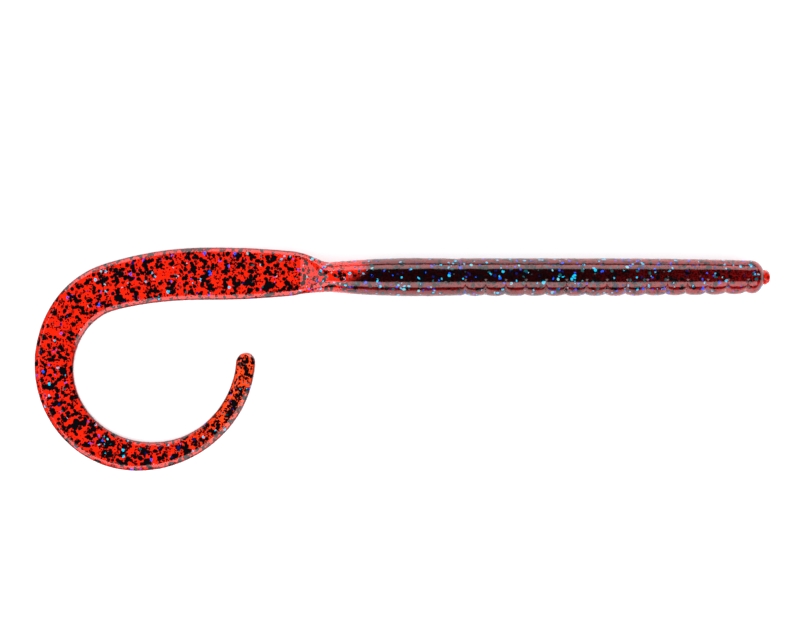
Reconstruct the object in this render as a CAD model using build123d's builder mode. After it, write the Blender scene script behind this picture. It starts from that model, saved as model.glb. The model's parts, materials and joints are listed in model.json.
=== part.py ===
"""A curly-tailed soft plastic worm, lying on its side, as a chain of flexing segments.

Millimetres and degrees. The origin is the centre of the nose's end face. The body's axis
runs along -X from there, +Y is the worm's back, and +Z is up from the surface it lies on.
The tail is a flat ribbon that curls round towards the belly (-Y).
"""

from build123d import *
from collections import namedtuple
from math import cos, hypot, radians, sin, sqrt, tan
import os

# Nose
nose_length = 5.2  # end face to first groove
nose_radius = 3.55  # at the first groove
dome_length = 2.8
stub_radius = 1.55  # what is left of the moulding gate
stub_length = 1.5
stub_chamfer = 0.25

# Ribbed front of the body
rib_count = 14
rib_pitch = 4.24
rib_radius = 4.0  # at the last groove
rib_taper_power = 4  # how late the body narrows towards the nose
groove_depth = 0.42

# Smooth rear of the body, in parts of equal length, the last of which is the waist
smooth_length = 28.5
smooth_parts = 5
smooth_front_radius = 3.8
saddle_radius = 4.02  # the thickest place
saddle_distance = 13.3  # behind the last groove
waist_radius = 3.12

# Tail ribbon: flat, along X, then curled through these bends of (radius, angle)
root_length = 6.4  # where the round body turns into the ribbon
waist_roundness = 0.98  # of the root's first section, short of a full circle
ribbon_thickness = 1.8
bevel_width, bevel_depth = 1.06, 0.55  # along both edges of both faces
ribbon_offset = 0.8  # its middle is this far towards the back
ribbon_run = 20.3  # straight, before the bends
ribbon_bends = [(75, 15.5), (16, 39), (19, 116), (21.5, 101)]
ribbon_widths = [(0, 9.2), (9, 10.6), (40, 10.2), (60, 8.5), (85, 7.2), (105, 4.7), (123, 4.1)]
ribbon_parts = 20
droop_length = 30  # over which the tail comes down from the waist to the surface

# How far each place flexes
flex_gap = 0.2  # left between two segments where they turn about each other
bend_least, bend_most = -8, 10  # sideways: to the back, to the belly
lift_most = 8  # the head, off the surface
flutter_most = 10  # the tail, off the surface
curl_least, curl_most = -1.5, 22  # curled tighter, straightened

first_groove = -nose_length
last_groove = first_groove - rib_count * rib_pitch
waist_end = last_groove - smooth_length
ribbon_start = waist_end - root_length
floor = -max(saddle_radius, rib_radius)
ribbon_length = ribbon_run + sum(radius * radians(angle) for radius, angle in ribbon_bends)
far = 4 * saddle_radius  # past the side of any segment

Flex = namedtuple("Flex", "kind x y z heading least most ratio")
Place = namedtuple("Place", "x y heading")


def body_radius(x):
    """The body's outer radius at a place along its axis."""
    if x >= last_groove:
        t = (first_groove - x) / (first_groove - last_groove)
        return nose_radius + (rib_radius - nose_radius) * (1 - (1 - t) ** rib_taper_power)
    u, d, w = last_groove - x, saddle_distance, smooth_length
    front = smooth_front_radius * (u - d) * (u - w) / (d * w)
    saddle = saddle_radius * u * (u - w) / (d * (d - w))
    rear = waist_radius * u * (u - d) / (w * (w - d))
    return front + saddle + rear


def ribbon_place(s):
    """The ribbon's centreline, s from its start: where it is, and its heading."""
    x, y, heading = ribbon_start - min(s, ribbon_run), ribbon_offset, 180.0
    s -= ribbon_run
    for radius, angle in ribbon_bends:
        if s <= 0:
            break
        turned = min(s / radius, radians(angle))
        a = radians(heading)
        x += radius * (sin(a + turned) - sin(a))
        y -= radius * (cos(a + turned) - cos(a))
        heading += turned / radians(1)
        s -= radius * turned
    return Place(x, y, heading)


def ribbon_width(s):
    """The ribbon's width, changing evenly from one station to the next."""
    for (s0, w0), (s1, w1) in zip(ribbon_widths, ribbon_widths[1:]):
        if s <= s1:
            break
    t = min((s - s0) / (s1 - s0), 1)
    return w0 + (w1 - w0) * t


def droop(distance):
    """The height of the tail's middle, a distance behind the waist."""
    t = min(max(distance / droop_length, 0), 1)
    return (floor + ribbon_thickness / 2) * t * t * (3 - 2 * t)


def ribbon_side(s, side):
    """A point on the ribbon's outline: side 1 is the outside of the curl, -1 the inside."""
    place, half = ribbon_place(s), ribbon_width(s) / 2
    a = radians(place.heading - 90 * side)
    return (place.x + half * cos(a), place.y + half * sin(a))


def outline(x0, x1, bulge=0):
    """Points of the body's profile from x0 back to x1: two ends, and a crest between."""
    middle = (x0 + x1) / 2
    return (x0, body_radius(x0) - bulge), (middle, body_radius(middle)), (x1, body_radius(x1) - bulge)


def gap(flex):
    """What is taken out at a flexing place: a slot that widens on each side that closes."""
    a = radians(flex.heading)
    along = (cos(a), sin(a), 0)
    turn = (sin(a), -cos(a), 0) if flex.kind == "lift" else (0, 0, 1)
    plane = Plane(origin=(flex.x, flex.y, flex.z), x_dir=along, z_dir=turn)
    closing = (-flex.least, flex.most) if flex.kind == "curl" else (flex.most, -flex.least)
    left, right = (flex_gap / 2 + far * tan(radians(angle) / 2) for angle in closing)
    with BuildPart() as slot:
        with BuildSketch(plane):
            with BuildLine():
                Polyline(
                    (flex_gap / 2, 0),
                    (left, far),
                    (-left, far),
                    (-flex_gap / 2, 0),
                    (-right, -far),
                    (right, -far),
                    close=True,
                )
            make_face()
        extrude(amount=far, both=True)
    return slot.part


# The segments, from the nose to the tail's tip, and the place between each and the next
ribs = [f"rib_{n + 1:02d}" for n in range(rib_count)]
smooths = [f"rear_body_{n + 1}" for n in range(smooth_parts - 1)] + ["waist"]
ribbons = [f"tail_{n + 1:02d}" for n in range(ribbon_parts - 1)] + ["tail_tip"]
segments = ["nose"] + ribs + smooths + ["tail_root"] + ribbons
base = smooths[smooth_parts // 2]  # what the others flex from

grooves = [first_groove - n * rib_pitch for n in range(rib_count + 1)]
joins = [last_groove - (n + 1) * smooth_length / smooth_parts for n in range(smooth_parts)]
ribbon_part = ribbon_length / ribbon_parts


def curl_at(s):
    """How far the ribbon turns, at rest, within one part either side of a place."""
    return ribbon_place(s + ribbon_part).heading - ribbon_place(s - ribbon_part).heading


sharpest = max(curl_at(n * ribbon_part) for n in range(1, ribbon_parts))
flexes = []
for n, x in enumerate(grooves + joins):
    if n % 2 == 0:
        flexes.append(Flex("bend", x, 0, 0, 180, bend_least, bend_most, 1))
    else:
        flexes.append(Flex("lift", x, 0, 0, 180, 0, lift_most, 1))
for n in range(ribbon_parts):
    s = n * ribbon_part
    x, y, heading = ribbon_place(s)
    at = x, y, droop(s + root_length), heading
    if s > ribbon_run and n % 5 != 4:
        share = curl_at(s) / sharpest
        flexes.append(Flex("curl", *at, curl_least * share, curl_most * share, share))
    elif s < ribbon_run and n % 2 == 0:
        flexes.append(Flex("bend", *at, bend_least, bend_most, 1))
    else:
        flexes.append(Flex("lift", *at, 0, flutter_most, 1))
gaps = [gap(flex) for flex in flexes]


def body_segment(n, x0, x1, groove):
    """A length of the round body: a plain back, and a belly that a groove ends on each side."""
    back, belly = outline(x0, x1), outline(x0, x1, groove)
    with BuildPart() as segment:
        for points, side in ((back, -1), (belly, 1)):
            profile = [(x, side * radius) for x, radius in points]
            with BuildSketch(Plane.XZ):
                with BuildLine():
                    Spline(*profile)
                    Polyline(profile[2], (x1, 0), (x0, 0), profile[0])
                make_face()
            revolve(axis=Axis.X, revolution_arc=180)
        for cut in gaps[max(n - 1, 0) : n + 1]:
            add(cut, mode=Mode.SUBTRACT)
    return segment.part


def ribbon_segment(n, s0, s1, tip):
    """A length of the flat tail, with bevelled edges, and a round end on the tip."""
    middle = (s0 + s1) / 2
    start, end = ribbon_place(s0), ribbon_place(s1)
    run = hypot(end.x - start.x, end.y - start.y)
    along = ((end.x - start.x) / run, (end.y - start.y) / run, 0)
    across = (along[1], -along[0], 0)
    half = ribbon_thickness / 2
    low, high = droop(s0 + root_length), droop(s1 + root_length)
    round_end = s1 - ribbon_width(s1) / 2
    last = round_end if tip else s1
    with BuildPart() as segment:
        with BuildSketch(Plane.XY.offset(2 * floor)):
            with BuildLine():
                Spline(*(ribbon_side(s, 1) for s in (s0, middle, last)))
                Spline(*(ribbon_side(s, -1) for s in (s0, middle, last)))
                Line(ribbon_side(s0, 1), ribbon_side(s0, -1))
                if tip:
                    ThreePointArc(ribbon_side(last, 1), (end.x, end.y), ribbon_side(last, -1))
                else:
                    Line(ribbon_side(s1, 1), ribbon_side(s1, -1))
            make_face()
        extrude(amount=-4 * floor)
        with BuildSketch(Plane(origin=(start.x, start.y, 0), x_dir=along, z_dir=across)):
            with BuildLine():
                rise = (high - low) / run
                before, after = low - far * rise, high + far * rise
                Polyline(
                    (-far, before - half),
                    (run + far, after - half),
                    (run + far, after + half),
                    (-far, before + half),
                    close=True,
                )
            make_face()
        extrude(amount=far, both=True, mode=Mode.INTERSECT)
        for face in (segment.faces().sort_by(Axis.Z)[0], segment.faces().sort_by(Axis.Z)[-1]):
            rims = [edge for edge in face.edges() if edge.geom_type != GeomType.LINE]
            chamfer(rims, length=bevel_width, length2=bevel_depth, reference=face)
        for cut in gaps[n - 1 : n + 1]:
            add(cut, mode=Mode.SUBTRACT)
    return segment.part


# Nose: a blunt dome, with the stub of the moulding gate on its end
dome_middle = -stub_length - dome_length * sqrt(1 - (stub_radius / nose_radius) ** 2)
with BuildPart() as nose:
    with BuildSketch(Plane.XZ):
        with BuildLine():
            dome = EllipticalCenterArc((dome_middle, 0), dome_length, nose_radius, arc_size=90)
            Polyline(dome @ 1, (first_groove, nose_radius), (first_groove, 0), (dome_middle, 0))
            Line((dome_middle, 0), dome @ 0)
        make_face()
    revolve(axis=Axis.X)
    split(bisect_by=Plane.YZ.offset(-stub_length), keep=Keep.BOTTOM)
    add(gaps[0], mode=Mode.SUBTRACT)
nose.part.label = "nose"

with BuildPart() as gate_stub:
    with BuildSketch(Plane.YZ.offset(-stub_length)):
        Circle(stub_radius)
    extrude(amount=stub_length)
    chamfer(gate_stub.edges().sort_by(Axis.X)[-1], length=stub_chamfer)
gate_stub.part.label = "gate_stub"

# Tail root: round at the waist, flat at the ribbon
with BuildPart() as tail_root:
    with BuildSketch(Plane.YZ.offset(waist_end)):
        RectangleRounded(2 * waist_radius, 2 * waist_radius, waist_roundness * waist_radius)
    root_end = (ribbon_start, ribbon_offset, droop(root_length))
    with BuildSketch(Plane(origin=root_end, x_dir=(0, 1, 0), z_dir=(1, 0, 0))):
        RectangleRounded(ribbon_width(0), ribbon_thickness, bevel_depth)
    loft()
    root_at = segments.index("tail_root")
    for cut in gaps[root_at - 1 : root_at + 1]:
        add(cut, mode=Mode.SUBTRACT)
tail_root.part.label = "tail_root"

pieces = {"nose": nose.part, "gate_stub": gate_stub.part}
for n, name in enumerate(ribs, 1):
    pieces[name] = body_segment(n, grooves[n - 1], grooves[n], groove_depth)
for n, name in enumerate(smooths, 1 + rib_count):
    x0 = ([last_groove] + joins)[n - 1 - rib_count]
    pieces[name] = body_segment(n, x0, x0 - smooth_length / smooth_parts, 0)
pieces["tail_root"] = tail_root.part
for n, name in enumerate(ribbons, root_at + 1):
    s0 = (n - root_at - 1) * ribbon_part
    pieces[name] = ribbon_segment(n, s0, s0 + ribbon_part, name == "tail_tip")

os.makedirs("parts", exist_ok=True)
for name, piece in pieces.items():
    piece.label = name
    export_step(piece, f"parts/{name}.step")
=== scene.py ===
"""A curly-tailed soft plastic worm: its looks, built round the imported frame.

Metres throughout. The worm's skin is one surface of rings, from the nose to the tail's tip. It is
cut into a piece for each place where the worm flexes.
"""

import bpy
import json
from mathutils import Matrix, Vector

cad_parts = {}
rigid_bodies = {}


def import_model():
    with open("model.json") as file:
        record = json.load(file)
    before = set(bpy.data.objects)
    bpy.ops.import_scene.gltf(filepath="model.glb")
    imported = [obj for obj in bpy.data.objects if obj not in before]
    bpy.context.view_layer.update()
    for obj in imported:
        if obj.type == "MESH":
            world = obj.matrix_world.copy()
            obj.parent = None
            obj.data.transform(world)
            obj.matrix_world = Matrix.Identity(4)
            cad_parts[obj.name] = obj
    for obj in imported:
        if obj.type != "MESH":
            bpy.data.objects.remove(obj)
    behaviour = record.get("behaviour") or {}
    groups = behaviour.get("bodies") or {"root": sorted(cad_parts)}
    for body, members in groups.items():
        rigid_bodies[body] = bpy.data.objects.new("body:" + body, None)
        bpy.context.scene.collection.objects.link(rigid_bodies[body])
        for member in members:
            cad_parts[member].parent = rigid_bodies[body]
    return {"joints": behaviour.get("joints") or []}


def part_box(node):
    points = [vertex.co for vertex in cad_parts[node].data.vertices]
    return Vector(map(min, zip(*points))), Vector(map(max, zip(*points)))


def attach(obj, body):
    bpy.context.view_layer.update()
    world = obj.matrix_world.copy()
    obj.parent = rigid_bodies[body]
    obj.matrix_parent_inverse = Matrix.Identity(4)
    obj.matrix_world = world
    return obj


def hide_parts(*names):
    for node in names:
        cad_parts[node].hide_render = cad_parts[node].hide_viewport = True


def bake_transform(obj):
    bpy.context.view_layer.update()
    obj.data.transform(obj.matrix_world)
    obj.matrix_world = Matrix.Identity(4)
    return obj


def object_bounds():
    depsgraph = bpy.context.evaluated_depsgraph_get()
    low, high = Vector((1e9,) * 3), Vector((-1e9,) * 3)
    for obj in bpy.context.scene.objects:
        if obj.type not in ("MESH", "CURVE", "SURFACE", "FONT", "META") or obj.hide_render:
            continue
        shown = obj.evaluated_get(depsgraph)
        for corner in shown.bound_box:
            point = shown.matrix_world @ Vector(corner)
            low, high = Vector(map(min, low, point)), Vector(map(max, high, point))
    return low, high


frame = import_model()
cad_box = [list(corner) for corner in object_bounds()]

import json
import math
from collections import namedtuple

import bpy
import numpy as np
from bpy.props import FloatProperty, FloatVectorProperty, IntProperty, PointerProperty
from mathutils import Vector

bl_info = {
    "name": "Soft plastic worm",
    "version": (1, 0, 0),
    "blender": (4, 5, 0),
    "location": "3D View > Sidebar > Worm",
    "description": "Builds a ribbed, curly-tailed soft plastic worm full of glitter",
    "category": "Object",
}

# The ribbon's bends, as (radius, degrees), and its widths, as (distance along it, width)
RIBBON_BENDS = [(0.075, 15.5), (0.016, 39), (0.019, 116), (0.0215, 101)]
RIBBON_WIDTHS = [
    (0, 0.0092),
    (0.009, 0.0106),
    (0.040, 0.0102),
    (0.060, 0.0085),
    (0.085, 0.0072),
    (0.105, 0.0047),
    (0.123, 0.0041),
]
AROUND = 120  # points in each ring
MM = 0.001

Surface = namedtuple("Surface", "points normals u angle paint cuts waist bodies places headings")


class WormBodyShape(bpy.types.PropertyGroup):
    """The round body, from the nose to the waist."""

    nose_radius: FloatProperty(
        name="Nose radius", description="At the first groove", default=0.00355, unit="LENGTH"
    )
    dome_length: FloatProperty(
        name="Dome length", description="Of the nose's rounded end", default=0.0028, unit="LENGTH"
    )
    rib_radius: FloatProperty(
        name="Rib radius", description="At the last rib's crest", default=0.004, unit="LENGTH"
    )
    taper_power: FloatProperty(
        name="Taper", description="How late the body narrows towards the nose", default=4
    )
    groove_depth: FloatProperty(
        name="Groove depth", description="Between belly ribs", default=0.00042, unit="LENGTH"
    )
    groove_reach: FloatProperty(
        name="Groove reach",
        description="How far round from the belly the grooves go",
        default=math.radians(84.5),
        subtype="ANGLE",
    )
    notch_angle: FloatProperty(
        name="Notch length",
        description="Of the three-cornered notch where a groove ends, round the body",
        default=math.radians(12),
        subtype="ANGLE",
    )
    notch_width: FloatProperty(
        name="Notch width", description="At its wide end", default=0.0012, unit="LENGTH"
    )
    notch_depth: FloatProperty(
        name="Notch depth", description="At its point", default=0.00015, unit="LENGTH"
    )
    collar_length: FloatProperty(
        name="Collar length", description="Behind the last groove", default=0.00106, unit="LENGTH"
    )
    smooth_radius: FloatProperty(
        name="Smooth radius", description="Just behind the ribs", default=0.0038, unit="LENGTH"
    )
    saddle_radius: FloatProperty(
        name="Saddle radius", description="At the thickest place", default=0.00402, unit="LENGTH"
    )
    saddle_distance: FloatProperty(
        name="Saddle distance", description="Behind the last groove", default=0.0133, unit="LENGTH"
    )
    waist_radius: FloatProperty(
        name="Waist radius", description="Where the tail begins", default=0.00312, unit="LENGTH"
    )
    waviness: FloatProperty(
        name="Waviness", description="Of the moulded surface", default=0.000016, unit="LENGTH"
    )


class WormTailShape(bpy.types.PropertyGroup):
    """The flat ribbon tail."""

    thickness: FloatProperty(
        name="Thickness", description="Of the ribbon", default=0.0018, unit="LENGTH"
    )
    bevel_width: FloatProperty(
        name="Bevel width", description="In from each edge", default=0.00106, unit="LENGTH"
    )
    bevel_depth: FloatProperty(
        name="Bevel depth", description="Down from each face", default=0.00058, unit="LENGTH"
    )
    run: FloatProperty(
        name="Straight run", description="Before the first bend", default=0.0203, unit="LENGTH"
    )
    droop_length: FloatProperty(
        name="Droop length", description="From the waist down to the floor", default=0.03, unit="LENGTH"
    )


class PlasticLook(bpy.types.PropertyGroup):
    """The clear red plastic."""

    tail_red: FloatVectorProperty(
        name="Tail red",
        description="Where it is thin",
        default=(0.64, 0.0095, 0.0004),
        subtype="COLOR",
    )
    body_red: FloatVectorProperty(
        name="Body red",
        description="Where it is thick",
        default=(0.012, 0.0003, 0.0005),
        subtype="COLOR",
    )
    # Painted shade: the ribbon's rim is painted a darker red.
    rim_shade_red: FloatVectorProperty(
        name="Edge red",
        description="On the ribbon's rim",
        default=(0.12, 0.001, 0.001),
        subtype="COLOR",
    )
    # Painted light: the body's sides are painted brighter red, as if lit through from the side.
    lit_flank_red: FloatVectorProperty(
        name="Flank red",
        description="Down the body's sides",
        default=(0.17, 0.004, 0.004),
        subtype="COLOR",
    )
    nose_red: FloatVectorProperty(
        name="Nose red",
        description="Along the nose's middle",
        default=(0.20, 0.001, 0.001),
        subtype="COLOR",
    )
    # Painted light: the nose's sides are painted brighter red, as if lit through from the side.
    lit_nose_flank_red: FloatVectorProperty(
        name="Nose flank red",
        description="Down the nose's sides",
        default=(0.33, 0.003, 0.004),
        subtype="COLOR",
    )
    tip_red: FloatVectorProperty(
        name="Tip red",
        description="At the tail's thin tip",
        default=(0.70, 0.045, 0.004),
        subtype="COLOR",
    )
    body_cloud: FloatVectorProperty(
        name="Body cloud",
        description="The body's cloudy places",
        default=(0.01, 0.0003, 0.0005),
        subtype="COLOR",
    )
    tail_cloud: FloatVectorProperty(
        name="Tail cloud",
        description="The tail's cloudy places",
        default=(0.38, 0.005, 0.0005),
        subtype="COLOR",
    )
    body_dark: FloatVectorProperty(
        name="Body dark",
        description="Flakes deep in the body",
        default=(0.0012, 0.0002, 0.0003),
        subtype="COLOR",
    )
    tail_dark: FloatVectorProperty(
        name="Tail dark",
        description="Flakes deep in the tail",
        default=(0.04, 0.002, 0.0015),
        subtype="COLOR",
    )
    deep_teal: FloatVectorProperty(
        name="Deep teal",
        description="Bright flakes deep inside",
        default=(0.0, 0.05, 0.07),
        subtype="COLOR",
    )


class GlitterLook(bpy.types.PropertyGroup):
    """The hex flakes cast into the plastic."""

    large_size: FloatProperty(
        name="Large flake", description="Across its flats", default=0.00084, unit="LENGTH"
    )
    small_size: FloatProperty(
        name="Small flake", description="Across its flats", default=0.00034, unit="LENGTH"
    )
    bright_size: FloatProperty(
        name="Bright flake", description="Across its flats", default=0.00046, unit="LENGTH"
    )
    lift: FloatProperty(
        name="Lift", description="How far flakes stand out of the skin", default=0.000014, unit="LENGTH"
    )
    seed: IntProperty(name="Seed", description="For where the flakes lie", default=7)


class StageLook(bpy.types.PropertyGroup):
    """Camera, floor and lights."""

    lens: FloatProperty(name="Lens", description="Focal length, mm", default=85)
    view_width: FloatProperty(
        name="View width", description="Of floor that the view takes in", default=0.1693, unit="LENGTH"
    )
    look_at: FloatVectorProperty(
        name="Look at", description="The view's middle", default=(-0.0783, -0.00906, 0), unit="LENGTH"
    )
    strip_brightness: FloatProperty(
        name="Strip brightness", description="Radiance of the side lights", default=3.4
    )
    end_brightness: FloatProperty(
        name="End brightness", description="Radiance of the light past the tail", default=1.7
    )


def settings():
    """This scene's own copies of the property groups above."""
    return bpy.context.scene


def chain():
    """The bodies from nose to tail tip, and the place where each meets the next."""
    meets = {}
    for joint in frame["joints"]:
        ends = joint["parent"], joint["child"]
        for one, other in (ends, ends[::-1]):
            meets.setdefault(one, {})[other] = Vector(joint["pos_m"])
    bodies, places = ["nose"], []
    while True:
        onward = [body for body in meets[bodies[-1]] if body not in bodies]
        if not onward:
            return bodies, places
        places.append(meets[bodies[-1]][onward[0]])
        bodies.append(onward[0])


def eased(t):
    """0 to 1, flat at both ends."""
    t = np.clip(t, 0, 1)
    return t * t * (3 - 2 * t)


def ribbon_width(s):
    """The ribbon's width at distances along it, smooth through its stations."""
    at, wide = np.array(RIBBON_WIDTHS).T
    slope = np.gradient(wide, at)
    slope[0], slope[-1] = (wide[1] - wide[0]) / (at[1] - at[0]), slope[-1]
    n = np.clip(np.searchsorted(at, s, side="right") - 1, 0, len(at) - 2)
    gap = at[n + 1] - at[n]
    t = np.clip((s - at[n]) / gap, 0, 1)
    start = (1 + 2 * t) * (1 - t) ** 2 * wide[n] + t * (1 - t) ** 2 * gap * slope[n]
    end = t * t * (3 - 2 * t) * wide[n + 1] + t * t * (t - 1) * gap * slope[n + 1]
    return start + end


def ribbon_length(tail):
    """Along the ribbon's centreline, from the tail's root to its tip."""
    return tail.run + sum(radius * math.radians(turn) for radius, turn in RIBBON_BENDS)


def ribbon_place(s, start, tail):
    """The ribbon's centreline, s from its start: x, y and heading."""
    x, y, heading = start.x - min(s, tail.run), start.y, math.pi
    s -= tail.run
    for radius, turn in RIBBON_BENDS:
        if s <= 0:
            break
        turned = min(s / radius, math.radians(turn))
        x += radius * (math.sin(heading + turned) - math.sin(heading))
        y -= radius * (math.cos(heading + turned) - math.cos(heading))
        heading += turned
        s -= radius * turned
    return x, y, heading


def spine(u, waist, start, tail):
    """The centreline at distances behind the nose's end face: its places, seen from above, and headings."""
    centres, headings = [], []
    for distance in u:
        if distance > -start.x:
            x, y, heading = ribbon_place(distance + start.x, start, tail)
        else:
            aside = float(eased((distance - waist) / (-start.x - waist)))
            x, y, heading = -distance, start.y * aside, math.pi
        centres.append((x, y))
        headings.append(heading)
    return np.array(centres), np.array(headings)


def ring_angles():
    """Where each ring's points lie, from the back over the crown: closer together where grooves end."""
    turn = np.linspace(0, 2 * math.pi, 721)
    close = sum(np.exp(-(((turn - math.radians(end)) / math.radians(11)) ** 2)) for end in (103, 257))
    weight = np.cumsum(1 + 2.4 * close)
    weight = (weight - weight[0]) / (weight[-1] - weight[0])
    return np.interp(np.arange(AROUND) / AROUND, weight, turn)


def ring_distances(hinges, stub, tip_round, end):
    """Where the skin has rings, as distances from the nose's end face, and which rings end a piece."""
    middles = (hinges[:-1] + hinges[1:]) / 2
    dome_end = hinges[0] - 0.3 * (hinges[0] - stub)
    bow = 1 - np.cos(np.linspace(0, math.pi / 2, 18))
    u = list(stub + (dome_end - stub) * bow[:-1])
    cuts = [0]
    u += list(np.linspace(dome_end, hinges[0], 5)[:-1])
    closer = np.linspace(0, 1, 11) ** 1.35
    for n, middle in enumerate(middles):
        u += list(hinges[n] + (middle - hinges[n]) * closer[:-1])
        cuts.append(len(u))
        u += list(hinges[n + 1] - (hinges[n + 1] - middle) * closer[:0:-1])
    u += list(np.linspace(hinges[-1], end - tip_round, 10)[:-1])
    u += list(end - tip_round + tip_round * np.sin(np.linspace(0, math.pi / 2, 14)) * 0.9995)
    cuts.append(len(u) - 1)
    return np.array(u), cuts


def body_radius(u, body, first, last, waist, stub, stub_radius):
    """The round body's outer radius at distances behind the nose's end face."""
    t = np.clip((u - first) / (last - first), 0, 1)
    ribbed = body.nose_radius + (body.rib_radius - body.nose_radius) * (1 - (1 - t) ** body.taper_power)
    v, d, w = u - last, body.saddle_distance, waist - last
    smooth = body.smooth_radius * (v - d) * (v - w) / (d * w)
    smooth += body.saddle_radius * v * (v - w) / (d * (d - w))
    smooth += body.waist_radius * v * (v - d) / (w * (w - d))
    step = eased((v - body.collar_length) / (0.4 * MM) + 0.5)
    radius = ribbed * (1 - step) + smooth * step
    middle = stub + body.dome_length * math.sqrt(1 - (stub_radius / body.nose_radius) ** 2)
    ahead = np.clip((middle - u) / body.dome_length, 0, 1)
    return radius * np.sqrt(1 - ahead**2)


def groove_cut(u, angle, body, grooves):
    """How far the belly's grooves cut in, for distances and for angles round from the belly."""
    pitch = grooves[1] - grooves[0]
    between = (u - grooves[0]) / pitch
    nearest = np.abs(between - np.round(np.clip(between, 0, len(grooves) - 1)))
    rib = np.clip(2 * nearest, 0, 1)
    away = np.abs(angle)
    deep = eased((body.groove_reach - away) / math.radians(50))
    sharp = 1 + 6 * eased((away - math.radians(32)) / math.radians(44))
    cusp = (1 - np.sqrt(1 - (0.94 * (1 - rib)) ** 2)) / (1 - math.sqrt(1 - 0.94**2))
    deeper = 1 + 0.25 * np.clip(1 - (u - grooves[0]) / (grooves[-1] - grooves[0]), 0, 1)
    chisel = np.clip((body.groove_reach - away) / body.notch_angle, 0, 1)
    inside = np.clip((body.notch_width / 2 * (1 - chisel) - nearest * pitch) / (0.12 * MM), 0, 1)
    return body.groove_depth * deeper * deep * cusp**sharp + body.notch_depth * chisel * inside


def ribbon_section(angle, half, thick, bevel_width, bevel_depth):
    """A flat section with bevelled edges and a round rim: how far across and up, for angles round it."""
    quarter = off_edge(angle) / (math.pi / 2)
    bevel = np.minimum(bevel_width, 0.75 * half)
    depth = bevel_depth * bevel / bevel_width
    rim, shoulder = 0.26, 0.55
    rim_width, rim_turn = 0.24 * bevel, math.pi / 2 * 0.78
    turn = np.clip(quarter / rim, 0, 1) * rim_turn
    along = np.clip((quarter - rim) / (shoulder - rim), 0, 1)
    flat = np.clip((quarter - shoulder) / (1 - shoulder), 0, 1)
    round_in = (1 - np.cos(turn)) / (1 - math.cos(rim_turn))
    round_up = np.sin(turn) / math.sin(rim_turn)
    wall = thick - 0.76 * depth
    across = half - rim_width * round_in - (bevel - rim_width) * along - (half - bevel) * flat
    up = wall * round_up + (thick - wall) * along
    return across * np.sign(np.cos(angle)), up * np.sign(np.sin(angle))


def soften(rings, times=2):
    """Rounds the corners of closed sections, one in each row."""
    for _ in range(times):
        rings = (np.roll(rings, 1, 1) + 2 * rings + np.roll(rings, -1, 1)) / 4
    return rings


def waves(u, angle, rng):
    """A gentle unevenness between -1 and 1, the same each run."""
    total = np.zeros(np.broadcast(u, angle).shape)
    for _ in range(14):
        length, turns = rng.uniform(2.5, 9) * MM, rng.integers(-4, 5)
        total += np.sin(u * 2 * math.pi / length + turns * angle + rng.uniform(0, 6.3))
    return total / 5


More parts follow.
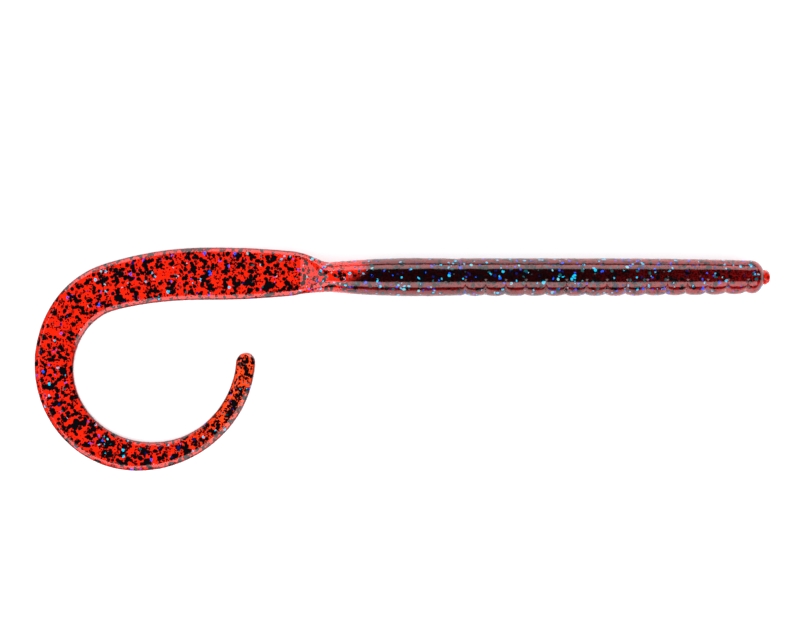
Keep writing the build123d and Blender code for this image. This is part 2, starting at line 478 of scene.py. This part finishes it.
def worm_surface():
    """The worm's whole skin as a grid of rings, with what its pieces and materials need."""
    body, tail = settings().worm_body, settings().worm_tail
    bodies, places = chain()
    root = bodies.index("tail_root")
    start = places[root]
    stub_low, stub_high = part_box("gate_stub")
    stub, stub_radius = -stub_low[0], (stub_high[1] - stub_low[1]) / 2
    long = ribbon_length(tail)
    part = long / (len(bodies) - root - 1)
    hinges = np.array([-place.x for place in places[: root + 1]])
    hinges = np.append(hinges, -start.x + part * np.arange(1, len(places) - root))
    end = -start.x + long
    tip_round = RIBBON_WIDTHS[-1][1] / 2
    u, cuts = ring_distances(hinges, stub, tip_round, end)
    ribs = sum(name.startswith("rib_") for name in bodies)
    grooves, waist = hinges[: ribs + 1], hinges[root - 1]

    angle = ring_angles()[None, :]
    ring = u[:, None]
    from_belly = np.abs(angle - math.pi)
    radius = body_radius(ring, body, grooves[0], grooves[-1], waist, stub, stub_radius)
    radius = np.where(ring > waist, body.waist_radius, radius)
    cut = np.where(ring < grooves[-1] + body.collar_length, groove_cut(ring, from_belly, body, grooves), 0)
    round_across, round_up = (radius - cut) * np.cos(angle), (radius - cut) * np.sin(angle)

    s = np.clip(u + start.x, 0, long)
    half = ribbon_width(s) / 2
    left = np.clip((end - u) / tip_round, 0, 1)
    rounding = np.sqrt(1 - (1 - left) ** 2)
    half = (half * rounding)[:, None]
    thick = (tail.thickness / 2 * (0.55 + 0.45 * rounding**0.5))[:, None]
    flat_across, flat_up = ribbon_section(angle, half, thick, tail.bevel_width, tail.bevel_depth)
    ramp = ((u - waist) / (-start.x - waist))[:, None]
    widen, flatten = eased((ramp + 0.06) / 1.35), np.clip(0.75 * ramp + 0.25 * eased(ramp), 0, 1)
    across = round_across * (1 - widen) + soften(flat_across) * widen
    up = round_up * (1 - flatten) + soften(flat_up) * flatten

    centres, headings = spine(u, waist, start, tail)
    low = cad_box[0][2] + tail.thickness / 2
    sunk = low * eased((u - waist) / tail.droop_length)

    points = np.empty(across.shape + (3,))
    points[..., 0] = centres[:, :1] + across * np.sin(headings)[:, None]
    points[..., 1] = centres[:, 1:] - across * np.cos(headings)[:, None]
    points[..., 2] = sunk[:, None] + up
    normals = grid_normals(points)
    rng = np.random.default_rng(3)
    fade = np.minimum(1, np.minimum(u - stub, end - u) / (2 * MM)).clip(0)[:, None]
    points += normals * (waves(ring, angle, rng) * fade * body.waviness)[..., None]
    normals = grid_normals(points)

    # Painted light: the bright red of the thin tail reaches further along the back than along the belly.
    further = 5.9 * np.clip(np.cos(angle) + 0.36, 0, 0.72)  # the bright red reaches further along the back
    paint = {
        "thin": eased((ring - waist + (5.4 + further) * MM) / (4.6 * MM)),
        "nose": np.clip((52 * MM - ring) / (48 * MM), 0, 1) ** 2 + 0 * angle,
        # painted shade along the ribbon's rim
        "rim": eased((math.radians(30) - off_edge(angle)) / math.radians(9)) * eased(ramp - 0.1),
        "tip": eased((ring - end + 34 * MM) / (30 * MM)) + 0 * angle,
        # painted light down the body's sides, with a painted shade line down each
        "painted_flank_light": painted_flank_light_share(angle) * eased((0.9 - ramp) / 0.8),
    }
    return Surface(points, normals, u, angle, paint, cuts, waist, bodies, places, headings)


def painted_flank_light_share(angle):
    """Painted light: where the round body's sides are painted brighter red, as if lit through from the
    side; each has a painted shade line along it.
    """
    out = np.cos(angle)
    starts, line = np.where(out > 0, 0.36, 0.20), np.where(out > 0, 0.68, 0.61)
    lit = eased((np.abs(out) - starts) / 0.2)
    return lit * (1 - 0.75 * np.exp(-(((np.abs(out) - line) / 0.045) ** 2)))


def off_edge(angle):
    """How far an angle round a ring is from the nearer edge."""
    return np.arctan2(np.abs(np.sin(angle)), np.abs(np.cos(angle)))


def grid_normals(points):
    """Outward unit normals of a grid of rings."""
    along = np.gradient(points, axis=0)
    around = np.roll(points, -1, 1) - np.roll(points, 1, 1)
    normals = np.cross(along, around)
    normals /= np.maximum(np.linalg.norm(normals, axis=2), 1e-12)[..., None]
    outward = points - points.mean(1, keepdims=True)
    if (normals * outward).sum() < 0:
        normals = -normals
    return normals


def add_values(mesh, name, values):
    """Gives each point of a mesh a number, or three, that its material reads."""
    wide = values.ndim == 2
    layer = mesh.attributes.new(name, "FLOAT_VECTOR" if wide else "FLOAT", "POINT")
    layer.data.foreach_set("vector" if wide else "value", values.astype(np.float32).ravel())


def new_mesh_object(name, points, faces, material):
    """A linked mesh object at the origin, with one material and smooth faces."""
    mesh = bpy.data.meshes.new(name)
    mesh.from_pydata([tuple(point) for point in points], [], faces)
    mesh.materials.append(material)
    mesh.polygons.foreach_set("use_smooth", [True] * len(mesh.polygons))
    obj = bpy.data.objects.new(name, mesh)
    bpy.context.scene.collection.objects.link(obj)
    return obj


def tube_faces(rings, around):
    """The faces of a closed tube of rings: its side, then its first end and its last."""
    faces = []
    for i in range(rings - 1):
        for k in range(around):
            a, b = i * around + k, i * around + (k + 1) % around
            faces.append((a, a + around, b + around, b))
    faces.append(tuple(range(around)))
    faces.append(tuple((rings - 1) * around + k for k in range(around))[::-1])
    return faces


def skin_piece(surface, n, material):
    """One closed length of skin, round the place where body n meets the next."""
    first, last = surface.cuts[n], surface.cuts[n + 1]
    points = surface.points[first : last + 1]
    normals = surface.normals[first : last + 1]
    name = f"{surface.bodies[n]}_skin"
    obj = new_mesh_object(name, points.reshape(-1, 3), tube_faces(len(points), AROUND), material)
    mesh = obj.data
    add_values(mesh, "rest", points.reshape(-1, 3) / MM)
    for layer, values in surface.paint.items():
        add_values(mesh, layer, values[first : last + 1].ravel())
    corner_points = np.empty(len(mesh.loops), np.int32)
    mesh.loops.foreach_get("vertex_index", corner_points)
    corner_normals = normals.reshape(-1, 3)[corner_points]
    for cap, end, sign in ((-2, first, -1), (-1, last, 1)):
        a = surface.headings[end]
        facing = np.array((math.cos(a), math.sin(a), 0)) * sign
        face = mesh.polygons[len(mesh.polygons) + cap]
        corner_normals[face.loop_start : face.loop_start + face.loop_total] = facing
    mesh.normals_split_custom_set([tuple(normal) for normal in corner_normals])
    follow(obj)
    return obj


def follow(obj):
    """Bakes a piece's transform into its mesh."""
    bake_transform(obj)


# --- materials ---


def add_node(tree, kind, inputs=None, **options):
    """A node with its options and inputs set; an input is a value or another node's output."""
    node = tree.nodes.new(kind)
    for option, value in options.items():
        setattr(node, option, value)
    for name, value in (inputs or {}).items():
        if isinstance(value, bpy.types.NodeSocket):
            tree.links.new(value, node.inputs[name])
        else:
            node.inputs[name].default_value = value
    return node


def new_material(name):
    """An empty node material: its tree and its output node."""
    material = bpy.data.materials.new(name)
    material.use_nodes = True
    material.node_tree.nodes.clear()
    output = add_node(material.node_tree, "ShaderNodeOutputMaterial")
    return material, material.node_tree, output


def mixed(tree, amount, one, other):
    """The colour between two, by amount."""
    node = add_node(tree, "ShaderNodeMix", data_type="RGBA")
    for index, value in ((0, amount), (6, one), (7, other)):
        if isinstance(value, bpy.types.NodeSocket):
            tree.links.new(value, node.inputs[index])
        else:
            node.inputs[index].default_value = value
    return node.outputs[2]


def ranged(tree, value, low, high, to_low=0.0, to_high=1.0):
    """A value eased from one range to another."""
    inputs = {"Value": value, "From Min": low, "From Max": high, "To Min": to_low, "To Max": to_high}
    return add_node(tree, "ShaderNodeMapRange", inputs, interpolation_type="SMOOTHSTEP").outputs[0]


def times(tree, one, other, operation="MULTIPLY"):
    """Arithmetic on two values."""
    return add_node(tree, "ShaderNodeMath", {0: one, 1: other}, operation=operation).outputs[0]


def sunken_flakes(tree, place, per_mm, size, share):
    """Where flakes below the surface show, blurred by the plastic over them."""
    cells = add_node(tree, "ShaderNodeTexVoronoi", {"Vector": place, "Scale": per_mm, "Randomness": 1.0})
    near = ranged(tree, cells.outputs["Distance"], size, size * 0.55)
    pick = add_node(tree, "ShaderNodeSeparateColor", {"Color": cells.outputs["Color"]})
    chosen = times(tree, pick.outputs[0], share, "LESS_THAN")
    return times(tree, near, chosen)


def plastic_material():
    """Clear red soft plastic: bright where thin, maroon where thick, with flakes down inside it, and
    painted light on the body's sides and painted shade on the ribbon's rim.
    """
    look = settings().worm_plastic
    material, tree, output = new_material("clear_red_plastisol")
    place = add_node(tree, "ShaderNodeAttribute", attribute_name="rest").outputs["Vector"]
    thin, nose, rim, tip, painted_flank_light = (
        add_node(tree, "ShaderNodeAttribute", attribute_name=layer).outputs["Fac"]
        for layer in ("thin", "nose", "rim", "tip", "painted_flank_light")
    )
    # Painted light: the body's and nose's sides are mixed towards a brighter red, as if lit through from
    # the side.
    lit_flank_red = mixed(tree, nose, (*look.lit_flank_red, 1), (*look.lit_nose_flank_red, 1))
    middle = mixed(tree, times(tree, nose, 0.8), (*look.body_red, 1), (*look.nose_red, 1))
    body = mixed(tree, painted_flank_light, middle, lit_flank_red)
    tail = mixed(tree, tip, (*look.tail_red, 1), (*look.tip_red, 1))
    red = mixed(tree, thin, body, tail)
    cloud = add_node(tree, "ShaderNodeTexNoise", {"Vector": place, "Scale": 0.35, "Detail": 3.0})
    shade = ranged(tree, cloud.outputs["Fac"], 0.3, 0.7, 0.0, 0.3)
    deeper = mixed(tree, thin, (*look.body_cloud, 1), (*look.tail_cloud, 1))
    red = mixed(tree, shade, red, deeper)
    speck = add_node(
        tree, "ShaderNodeTexNoise", {"Vector": place, "Scale": 2.6, "Detail": 4.0, "Roughness": 0.7}
    )
    grain = ranged(tree, speck.outputs["Fac"], 0.44, 0.58, 0.85, 0.0)
    thick = times(tree, 1.0, thin, "SUBTRACT")
    dark = mixed(tree, thin, (*look.body_dark, 1), (*look.tail_dark, 1))
    # Fewer dark specks show where the sides carry painted light.
    inside = times(tree, thick, ranged(tree, painted_flank_light, 0.0, 1.0, 1.0, 0.35))
    red = mixed(tree, times(tree, grain, inside), red, dark)
    # Painted shade: the ribbon's rim is darkened towards a deeper red.
    red = mixed(tree, times(tree, rim, 0.9), red, (*look.rim_shade_red, 1))
    for per_mm, size, share, strength in ((0.95, 0.44, 0.5, 0.75), (2.2, 0.36, 0.55, 0.65)):
        sunk = sunken_flakes(tree, place, per_mm, size, share)
        red = mixed(tree, times(tree, sunk, strength), red, dark)
    teal = sunken_flakes(tree, place, 1.3, 0.30, 0.07)
    red = mixed(tree, times(tree, teal, 0.6), red, (*look.deep_teal, 1))
    grain = add_node(tree, "ShaderNodeTexNoise", {"Vector": place, "Scale": 1.6, "Detail": 2.0})
    ripple = add_node(
        tree, "ShaderNodeBump", {"Height": grain.outputs["Fac"], "Strength": 0.25, "Distance": 0.00002}
    )
    shader = add_node(
        tree,
        "ShaderNodeBsdfPrincipled",
        {
            "Base Color": red,
            "Roughness": ranged(tree, grain.outputs["Fac"], 0.25, 0.75, 0.06, 0.13),
            "Normal": ripple.outputs["Normal"],
            "IOR": 1.5,
        },
    )
    tree.links.new(shader.outputs[0], output.inputs["Surface"])
    return material


def flake_material(name, colour):
    """One colour of flake, under the same wet gloss as the plastic."""
    material, tree, output = new_material(name)
    shader = add_node(
        tree,
        "ShaderNodeBsdfPrincipled",
        {"Base Color": (*colour, 1), "Metallic": 0.0, "Roughness": 0.12, "IOR": 1.5},
    )
    tree.links.new(shader.outputs[0], output.inputs["Surface"])
    return material


# --- glitter ---


def sample(surface, i, k):
    """Points and normals between the grid's, at fractions of its rows and columns."""
    i = np.clip(i, 0, len(surface.u) - 1.000001)
    low_i, low_k = np.floor(i).astype(int), np.floor(k).astype(int)
    t, v = (i - low_i)[..., None], (k - low_k)[..., None]
    low_k %= AROUND
    next_k = (low_k + 1) % AROUND
    found = []
    for grid in (surface.points, surface.normals):
        near = grid[low_i, low_k] * (1 - v) + grid[low_i, next_k] * v
        far = grid[low_i + 1, low_k] * (1 - v) + grid[low_i + 1, next_k] * v
        found.append(near * (1 - t) + far * t)
    return found


def scatter(surface, rng, density):
    """Places for flakes, as fractions of rows and columns, for a density per square metre."""
    points = surface.points
    along = np.linalg.norm(np.diff(points, axis=0), axis=2)
    around = np.linalg.norm(np.roll(points, -1, 1) - points, axis=2)[:-1]
    weight = along * around * density[:-1]
    count = int(round(weight.sum()))
    picks = rng.choice(weight.size, count, p=weight.ravel() / weight.sum())
    i, k = np.divmod(picks, AROUND)
    return i + rng.random(count), k + rng.random(count)


def flakes(surface, rng, i, k, size, least, flattest, lift):
    """Hexagonal flakes laid in the surface: 13 points each, and which point of the grid each is at."""
    along = np.linalg.norm(np.gradient(surface.points, axis=0), axis=2)
    around = np.linalg.norm(np.roll(surface.points, -1, 1) - np.roll(surface.points, 1, 1), axis=2) / 2
    row, column = i.astype(int), k.astype(int) % AROUND
    step_i, step_k = along[row, column][:, None], around[row, column][:, None]
    spin, tilt_way = rng.uniform(0, 2 * math.pi, (2, len(i), 1))
    reach = size / math.sqrt(3) * rng.uniform(least, 2 - least, (len(i), 1))
    turn = spin + np.arange(6) * math.pi / 3
    long, short = reach * np.cos(turn), reach * np.sin(turn) * rng.uniform(flattest, 1, (len(i), 1))
    corner_i = i[:, None] + (long * np.cos(tilt_way) - short * np.sin(tilt_way)) / step_i
    corner_k = k[:, None] + (long * np.sin(tilt_way) + short * np.cos(tilt_way)) / step_k
    rise = lift * rng.uniform(0.5, 1.5, len(i))[:, None, None]
    rim, rim_normal = sample(surface, corner_i, corner_k)
    middle, middle_normal = sample(surface, i[:, None], k[:, None])
    top, bottom = rim + rim_normal * rise, rim - rim_normal * 0.02 * MM
    return np.concatenate([top, middle + middle_normal * rise, bottom], axis=1)


def flake_faces(count):
    """The faces of that many flakes of 13 points: a fan on top, sides, and a base."""
    one = []
    for k in range(6):
        after = (k + 1) % 6
        one.append((k, after, 6))
        one.append((k, 7 + k, 7 + after, after))
    one.append((12, 11, 10, 9, 8, 7))
    return [tuple(13 * n + corner for corner in face) for n in range(count) for face in one]


def glitter_pieces(surface, groups, materials, label):
    """Joins flakes into a piece for each place where the worm flexes."""
    cuts = np.array(surface.cuts)
    for n in range(len(surface.places)):
        points, kinds = [], []
        for slot, (i, corners) in enumerate(groups):
            mine = (i >= cuts[n]) & (i < cuts[n + 1])
            points.append(corners[mine])
            kinds += [slot] * int(mine.sum())
        joined = np.concatenate(points)
        if not len(joined):
            continue
        obj = new_mesh_object(
            f"{surface.bodies[n]}_{label}", joined.reshape(-1, 3), flake_faces(len(joined)), materials[0]
        )
        for material in materials[1:]:
            obj.data.materials.append(material)
        obj.data.polygons.foreach_set("material_index", np.repeat(kinds, 13))
        obj.data.polygons.foreach_set("use_smooth", [False] * len(obj.data.polygons))
        follow(obj)


# Each kind's name, colour, which size it is, its smallest and narrowest flakes as shares of that,
# and how many lie on each square mm of tail, of the tail's root and of the body
GLITTER = {
    "black_glitter": [
        ("large_black_flake", (0.0012, 0.0012, 0.002), "large_size", 0.85, 0.75, (0.85, 0.35, 0.20)),
        ("small_black_flake", (0.002, 0.001, 0.0012), "small_size", 0.6, 0.6, (3.0, 1.5, 0.8)),
    ],
    # The blue and teal flakes glint or go dark by their tilt: the bright copies are painted glints, the
    # pale one a painted highlight, the dark ones painted shade.
    "bright_glitter": [
        ("glinting_cyan_flake", (0.0, 0.36, 0.58), "bright_size", 0.45, 0.45, (0.05, 0.12, 0.13)),
        ("highlit_pale_flake", (0.10, 0.36, 0.40), "bright_size", 0.45, 0.45, (0.012, 0.06, 0.02)),
        ("unlit_teal_flake", (0.0, 0.06, 0.07), "bright_size", 0.45, 0.45, (0.03, 0.10, 0.16)),
        ("glinting_blue_flake", (0.0, 0.06, 0.70), "bright_size", 0.45, 0.45, (0.05, 0.11, 0.11)),
        ("unlit_blue_flake", (0.001, 0.005, 0.08), "bright_size", 0.45, 0.45, (0.05, 0.06, 0.12)),
    ],
}


def flakes_per_area(surface, rng, shares):
    """How many flakes lie at each point of the grid, per square metre, in loose clusters."""
    u = surface.u[:, None]
    on_tail, on_root, on_body = shares
    to_root = eased((u - surface.waist + 6 * MM) / (4 * MM))
    to_tail = eased((u - surface.waist - 4.5 * MM) / (3 * MM))
    share = on_body + (on_root - on_body) * to_root + (on_tail - on_root) * to_tail
    cluster = np.clip(1 + 1.3 * waves(u * 1.6, surface.angle, rng), 0.1, 3)
    on_bevel = eased((math.radians(55) - off_edge(surface.angle)) / math.radians(20)) * to_tail
    cluster *= 1 - 0.45 * on_bevel
    cluster *= 1 + 0.25 * np.exp(-(((u - surface.waist - 93 * MM) / (20 * MM)) ** 2))
    cluster *= 1 + 0.5 * eased((u - surface.u[-1] + 24 * MM) / (14 * MM))
    return cluster * share / MM**2


def make_glitter(label, seed_offset):
    """All the flakes of one kind of glitter piece."""
    look = settings().worm_glitter
    surface = worm_surface()
    rng = np.random.default_rng(look.seed + seed_offset)
    groups, materials = [], []
    for name, colour, size, least, flattest, shares in GLITTER[label]:
        i, k = scatter(surface, rng, flakes_per_area(surface, rng, shares))
        across = getattr(look, size)
        groups.append((i, flakes(surface, rng, i, k, across, least, flattest, look.lift)))
        materials.append(flake_material(name, colour))
    glitter_pieces(surface, groups, materials, label)


# --- operators ---


class WORM_OT_skin(bpy.types.Operator):
    """Build the worm's skin, from the nose to the tail's tip"""

    bl_idname = "worm.skin"
    bl_label = "Skin"

    def execute(self, context):
        surface = worm_surface()
        material = plastic_material()
        for n, name in enumerate(surface.bodies[:-1]):
            obj = skin_piece(surface, n, material)
            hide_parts(name)
            if n == len(surface.places) - 1:
                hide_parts(surface.bodies[-1])
        return {"FINISHED"}


class WORM_OT_gate_stub(bpy.types.Operator):
    """Build the torn stub of the moulding gate on the nose"""

    bl_idname = "worm.gate_stub"
    bl_label = "Gate stub"

    def execute(self, context):
        low, high = (np.array(corner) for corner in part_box("gate_stub"))
        centre, radius, length = (low + high) / 2, (high[1] - low[1]) / 2, high[0] - low[0]
        rng = np.random.default_rng(11)
        across, rings = 40, 16
        angle = np.linspace(0, 2 * math.pi, across, endpoint=False)
        points = []
        for t in np.linspace(0, 1, rings):
            shrink = math.sqrt(max(1 - max(0, (t - 0.45) / 0.56) ** 2.6, 0.02))
            lumps = 1 + 0.07 * np.sin(2 * angle + 5 * t) + 0.05 * np.sin(5 * angle - 7 * t + 1)
            ring = radius * 0.93 * shrink * lumps + rng.normal(0, 0.012 * MM, across)
            x = low[0] - 0.2 * MM + (length + 0.2 * MM) * t + 0.06 * MM * np.sin(3 * angle) * t * (1 - t)
            y, z = centre[1] + ring * np.cos(angle), centre[2] + ring * np.sin(angle)
            points.append(np.column_stack([x, y, z]))
        points = np.concatenate(points)
        material = bpy.data.materials["clear_red_plastisol"]
        obj = new_mesh_object("gate_stub_skin", points, tube_faces(rings, across), material)
        add_values(obj.data, "rest", points / MM + 40)
        # The stub takes a share of the painted side light and none of the painted rim shade.
        for layer, value in {"thin": 0.75, "nose": 1, "rim": 0.0, "tip": 0, "painted_flank_light": 0.6}.items():
            add_values(obj.data, layer, np.full(len(points), value))
        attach(obj, "nose")
        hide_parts("gate_stub")
        return {"FINISHED"}


class WORM_OT_black_glitter(bpy.types.Operator):
    """Scatter the large and small black flakes"""

    bl_idname = "worm.black_glitter"
    bl_label = "Black glitter"

    def execute(self, context):
        make_glitter("black_glitter", 0)
        return {"FINISHED"}


class WORM_OT_bright_glitter(bpy.types.Operator):
    """Scatter the blue and teal flakes"""

    bl_idname = "worm.bright_glitter"
    bl_label = "Bright glitter"

    def execute(self, context):
        make_glitter("bright_glitter", 1)
        return {"FINISHED"}


class WORM_OT_stage(bpy.types.Operator):
    """Lay the pale floor, and set the lights and the camera"""

    bl_idname = "worm.stage"
    bl_label = "Stage"

    def execute(self, context):
        look = settings().worm_stage
        centre = Vector(look.look_at)
        centre.z = cad_box[0][2]
        self.floor(centre)
        self.soft_light("back_strip", centre, 90, 25, 0.36, (0.9, 0.18), look.strip_brightness)
        self.soft_light("belly_strip", centre, -90, 43, 0.36, (0.9, 0.22), look.strip_brightness)
        self.soft_light("tail_end_box", centre, 180, 44, 0.8, (0.5, 0.28), look.end_brightness)
        self.camera(centre, look)
        self.surroundings()
        return {"FINISHED"}

    def floor(self, centre):
        material, tree, output = new_material("pale_table")
        grain = add_node(tree, "ShaderNodeTexNoise", {"Scale": 3.0, "Detail": 2.0})
        colour = mixed(tree, grain.outputs["Fac"], (0.86, 0.86, 0.87, 1), (0.88, 0.88, 0.88, 1))
        shader = add_node(tree, "ShaderNodeBsdfPrincipled", {"Base Color": colour, "Roughness": 0.8})
        tree.links.new(shader.outputs[0], output.inputs["Surface"])
        half = 2.0
        corners = [(x * half, y * half, centre.z) for x, y in ((-1, -1), (1, -1), (1, 1), (-1, 1))]
        new_mesh_object("table_top", corners, [(0, 1, 2, 3)], material)

    def soft_light(self, name, centre, bearing, height, away, size, brightness):
        """A soft box facing the worm, at a bearing and height in degrees, as bright as its radiance."""
        lamp = bpy.data.lights.new(name, "AREA")
        lamp.shape = "RECTANGLE"
        lamp.size, lamp.size_y = size
        lamp.energy = brightness * math.pi * lamp.size * lamp.size_y
        holder = bpy.data.objects.new(name, lamp)
        bpy.context.scene.collection.objects.link(holder)
        level, tilt = math.radians(bearing), math.radians(height)
        way = Vector((math.cos(level) * math.cos(tilt), math.sin(level) * math.cos(tilt), math.sin(tilt)))
        holder.location = centre + away * way
        holder.rotation_euler = way.to_track_quat("Z", "Y").to_euler()
        holder.visible_camera = False

    def camera(self, centre, look):
        camera = bpy.data.cameras.new("camera")
        camera.lens, camera.sensor_width = look.lens, 36
        holder = bpy.data.objects.new("camera", camera)
        bpy.context.scene.collection.objects.link(holder)
        far = look.view_width / camera.sensor_width * look.lens
        holder.location = centre + Vector((0, 0, far + 4 * MM))
        camera.clip_start, camera.clip_end = 0.01, 10
        bpy.context.scene.camera = holder

    def surroundings(self):
        world = bpy.data.worlds.new("studio")
        bpy.context.scene.world = world
        world.use_nodes = True
        tree = world.node_tree
        tree.nodes.clear()
        path = add_node(tree, "ShaderNodeLightPath").outputs
        reflected = mixed(tree, path["Is Glossy Ray"], (1.15, 1.15, 1.16, 1), (0.02, 0.02, 0.022, 1))
        colour = mixed(tree, path["Is Camera Ray"], reflected, (1.0, 1.0, 1.0, 1))
        light = add_node(tree, "ShaderNodeBackground", {"Color": colour, "Strength": 1.0})
        output = add_node(tree, "ShaderNodeOutputWorld")
        tree.links.new(light.outputs[0], output.inputs["Surface"])
        bpy.context.scene.view_settings.view_transform = "Standard"


class WORM_PT_panel(bpy.types.Panel):
    """The worm's pieces and sizes"""

    bl_idname = "WORM_PT_panel"
    bl_label = "Soft plastic worm"
    bl_space_type = "VIEW_3D"
    bl_region_type = "UI"
    bl_category = "Worm"

    def draw(self, context):
        for operator in OPERATORS:
            self.layout.operator(operator.bl_idname)
        for name in GROUPS:
            group = getattr(context.scene, name)
            box = self.layout.box()
            for field in group.bl_rna.properties:
                if field.identifier not in ("rna_type", "name"):
                    box.prop(group, field.identifier)


OPERATORS = (
    WORM_OT_skin,
    WORM_OT_gate_stub,
    WORM_OT_black_glitter,
    WORM_OT_bright_glitter,
    WORM_OT_stage,
)
GROUPS = {
    "worm_body": WormBodyShape,
    "worm_tail": WormTailShape,
    "worm_plastic": PlasticLook,
    "worm_glitter": GlitterLook,
    "worm_stage": StageLook,
}


def register():
    for group in GROUPS.values():
        bpy.utils.register_class(group)
    for name, group in GROUPS.items():
        setattr(bpy.types.Scene, name, PointerProperty(type=group))
    for item in OPERATORS + (WORM_PT_panel,):
        bpy.utils.register_class(item)


def unregister():
    for item in (WORM_PT_panel,) + OPERATORS[::-1]:
        bpy.utils.unregister_class(item)
    for name, group in GROUPS.items():
        delattr(bpy.types.Scene, name)
        bpy.utils.unregister_class(group)


def main():
    """Builds everything in order."""
    register()
    bpy.ops.worm.stage()
    bpy.ops.worm.skin()
    bpy.ops.worm.gate_stub()
    bpy.ops.worm.black_glitter()
    bpy.ops.worm.bright_glitter()


if __name__ == "__main__":
    main()
